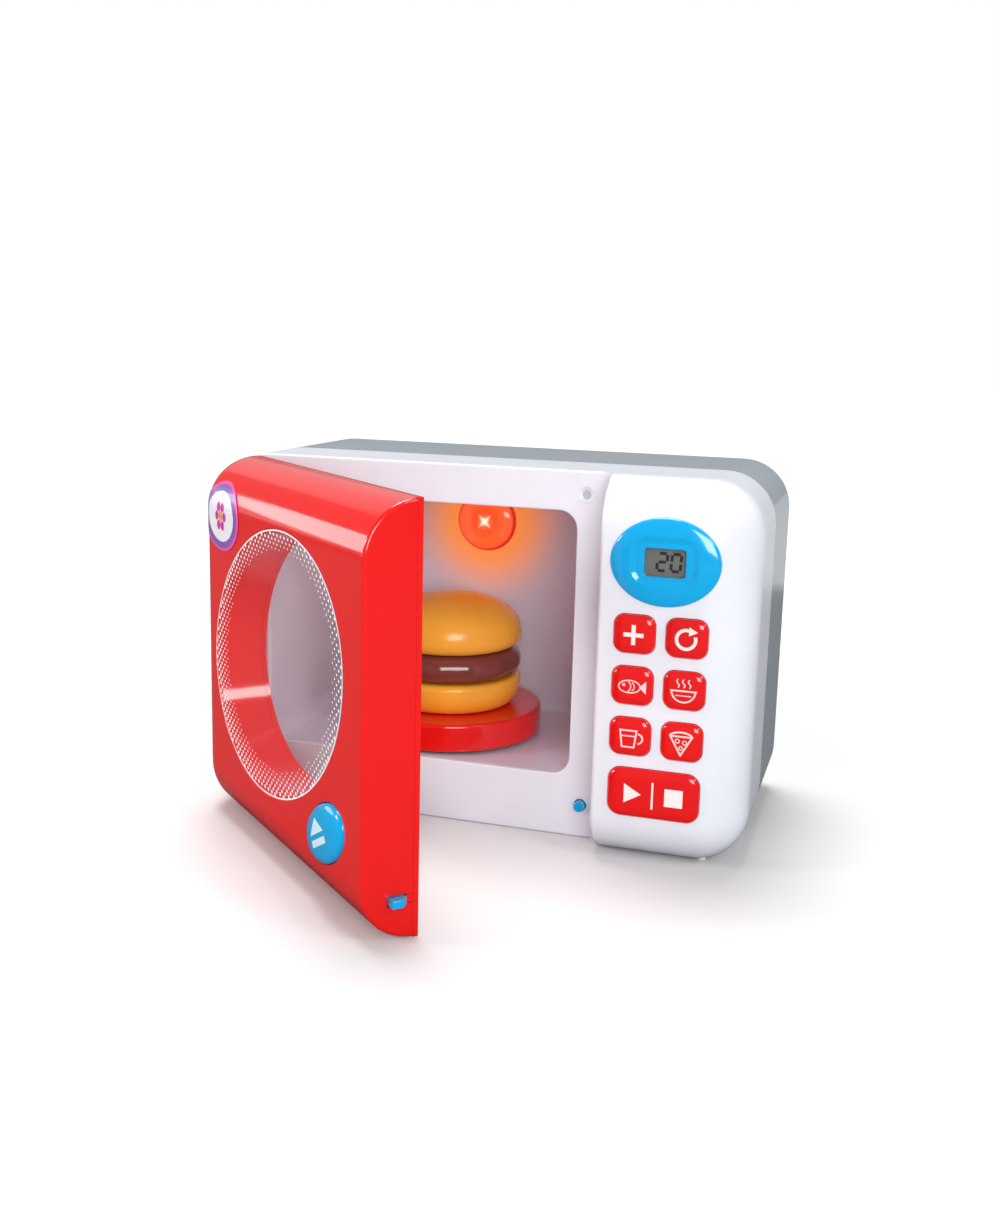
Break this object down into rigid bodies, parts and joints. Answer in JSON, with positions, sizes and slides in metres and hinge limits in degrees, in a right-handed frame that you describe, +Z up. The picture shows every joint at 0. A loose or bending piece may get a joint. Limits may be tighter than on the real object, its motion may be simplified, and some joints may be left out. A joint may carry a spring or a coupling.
{
  "type": "toy microwave oven",
  "caption": "Toy microwave oven with a swinging window door, sprung opening button and latch, pillow keys, an oval display, a lamp and a geared turntable carrying a toy burger.",
  "frame": {"origin": "on the flat underside of the housing, midway across its width and halfway through the depth of the closed housing", "axes": "+X to the right seen from the front, -Y out of the front, +Z up; the door stands partly open at rest"},
  "size_m": [0.274, 0.2643, 0.18],
  "materials": {
    "white_shell": "satin gloss moulded plastic",
    "silver_shell": "glossy silver-grey moulded plastic",
    "cavity_lilac": "satin pale lilac moulded plastic",
    "blue_gloss": "glossy moulded plastic",
    "red_gloss": "glossy moulded plastic",
    "clear_lens": "clear polished plastic",
    "clear_window": "clear plastic sheet with white printed dots round its edge",
    "lcd_grey": "liquid crystal display glass, grey-green with dark segments",
    "rubber_grey": "matte moulded rubber",
    "board_green": "lacquered circuit board",
    "black_plastic": "matte moulded plastic",
    "lamp_red": "translucent red lens, lit from behind",
    "steel": "plain steel",
    "cream_plastic": "self-coloured plastic",
    "cell_jacket": "plain wrapped cell",
    "sticker_print": "printed glossy sticker",
    "bun_orange": "satin plastic with fine speckle",
    "patty_brown": "glossy plastic"
  },
  "bodies": {
    "housing": {"front_shell": "white_shell", "rear_shell": "silver_shell", "battery_door": "silver_shell", "cavity_liner": "cavity_lilac", "lcd_bezel": "blue_gloss", "lcd_lens": "clear_lens", "lcd_module": "lcd_grey", "key_mat": "rubber_grey", "control_board": "board_green", "lamp_board": "board_green", "speaker": "black_plastic", "door_switch": "black_plastic", "battery_box": "black_plastic", "drive_motor": "black_plastic", "lamp_lens": "lamp_red", "shell_screw_1": "steel", "shell_screw_2": "steel", "shell_screw_3": "steel", "shell_screw_4": "steel", "hinge_pin_lower": "steel", "hinge_pin_upper": "steel", "release_spring": "steel", "contact_strip_front": "steel", "contact_strip_rear": "steel", "battery_door_screw": "steel", "release_cap": "cream_plastic", "battery_1": "cell_jacket", "battery_2": "cell_jacket", "battery_3": "cell_jacket"},
    "door": {"door_shell": "red_gloss", "door_back": "red_gloss", "window_film": "clear_window", "door_sticker": "sticker_print", "button_spring": "steel", "latch_spring": "steel"},
    "open_button": {"open_button": "blue_gloss"},
    "latch": {"latch": "blue_gloss"},
    "release_peg": {"release_peg": "blue_gloss"},
    "key_row1_left": {"key_row1_left": "red_gloss"},
    "key_row1_right": {"key_row1_right": "red_gloss"},
    "key_row2_left": {"key_row2_left": "red_gloss"},
    "key_row2_right": {"key_row2_right": "red_gloss"},
    "key_row3_left": {"key_row3_left": "red_gloss"},
    "key_row3_right": {"key_row3_right": "red_gloss"},
    "start_stop_key": {"start_stop_key": "red_gloss"},
    "turntable": {"turntable": "red_gloss", "turntable_spindle": "cream_plastic", "drive_gear": "cream_plastic"},
    "pinion": {"drive_pinion": "cream_plastic"},
    "bottom_bun": {"bottom_bun": "bun_orange"},
    "patty": {"patty": "patty_brown"},
    "top_bun": {"top_bun": "bun_orange"}
  },
  "joints": [
    {"name": "door_hinge", "type": "hinge", "parent": "housing", "child": "door", "pos_m": [-0.127, -0.0559, 0], "axis": [0, 0, 1], "range_deg": [-58, 41.8]},
    {"name": "open_button_press", "type": "slide", "parent": "door", "child": "open_button", "axis": [0.6665, 0.7455, 0], "range_m": [0, 0.0035], "stiffness_N_per_m": 250, "springref_m": -0.003},
    {"name": "latch_slide", "type": "slide", "parent": "door", "child": "latch", "axis": [-0.7455, 0.6665, 0], "range_m": [0, 0.0035], "stiffness_N_per_m": 120, "springref_m": -0.003},
    {"name": "release_peg_press", "type": "slide", "parent": "housing", "child": "release_peg", "axis": [0, 1, 0], "range_m": [0, 0.003], "stiffness_N_per_m": 150, "springref_m": -0.002},
    {"name": "key_row1_left_press", "type": "slide", "parent": "housing", "child": "key_row1_left", "axis": [0, 1, 0], "range_m": [0, 0.0012], "stiffness_N_per_m": 500, "springref_m": -0.0006},
    {"name": "key_row1_right_press", "type": "slide", "parent": "housing", "child": "key_row1_right", "axis": [0, 1, 0], "range_m": [0, 0.0012], "stiffness_N_per_m": 500, "springref_m": -0.0006},
    {"name": "key_row2_left_press", "type": "slide", "parent": "housing", "child": "key_row2_left", "axis": [0, 1, 0], "range_m": [0, 0.0012], "stiffness_N_per_m": 500, "springref_m": -0.0006},
    {"name": "key_row2_right_press", "type": "slide", "parent": "housing", "child": "key_row2_right", "axis": [0, 1, 0], "range_m": [0, 0.0012], "stiffness_N_per_m": 500, "springref_m": -0.0006},
    {"name": "key_row3_left_press", "type": "slide", "parent": "housing", "child": "key_row3_left", "axis": [0, 1, 0], "range_m": [0, 0.0012], "stiffness_N_per_m": 500, "springref_m": -0.0006},
    {"name": "key_row3_right_press", "type": "slide", "parent": "housing", "child": "key_row3_right", "axis": [0, 1, 0], "range_m": [0, 0.0012], "stiffness_N_per_m": 500, "springref_m": -0.0006},
    {"name": "start_stop_key_press", "type": "slide", "parent": "housing", "child": "start_stop_key", "axis": [0, 1, 0], "range_m": [0, 0.0012], "stiffness_N_per_m": 500, "springref_m": -0.0006},
    {"name": "turntable_spin", "type": "hinge", "parent": "housing", "child": "turntable", "pos_m": [-0.03165, 0.00725, 0], "axis": [0, 0, 1], "continuous": true},
    {"name": "pinion_spin", "type": "hinge", "parent": "housing", "child": "pinion", "pos_m": [0.00735, 0.00725, 0], "axis": [0, 0, 1], "continuous": true},
    {"name": "bottom_bun_lift", "type": "slide", "parent": "turntable", "child": "bottom_bun", "axis": [0, 0, 1], "range_m": [0, 0.017]},
    {"name": "patty_lift", "type": "slide", "parent": "bottom_bun", "child": "patty", "axis": [0, 0, 1], "range_m": [0, 0.017]},
    {"name": "top_bun_lift", "type": "slide", "parent": "patty", "child": "top_bun", "axis": [0, 0, 1], "range_m": [0, 0.017]}
  ],
  "couplings": [
    {"joint": "latch_slide", "follows": "open_button_press", "ratio": 1},
    {"joint": "pinion_spin", "follows": "turntable_spin", "ratio": -3.3333}
  ]
}
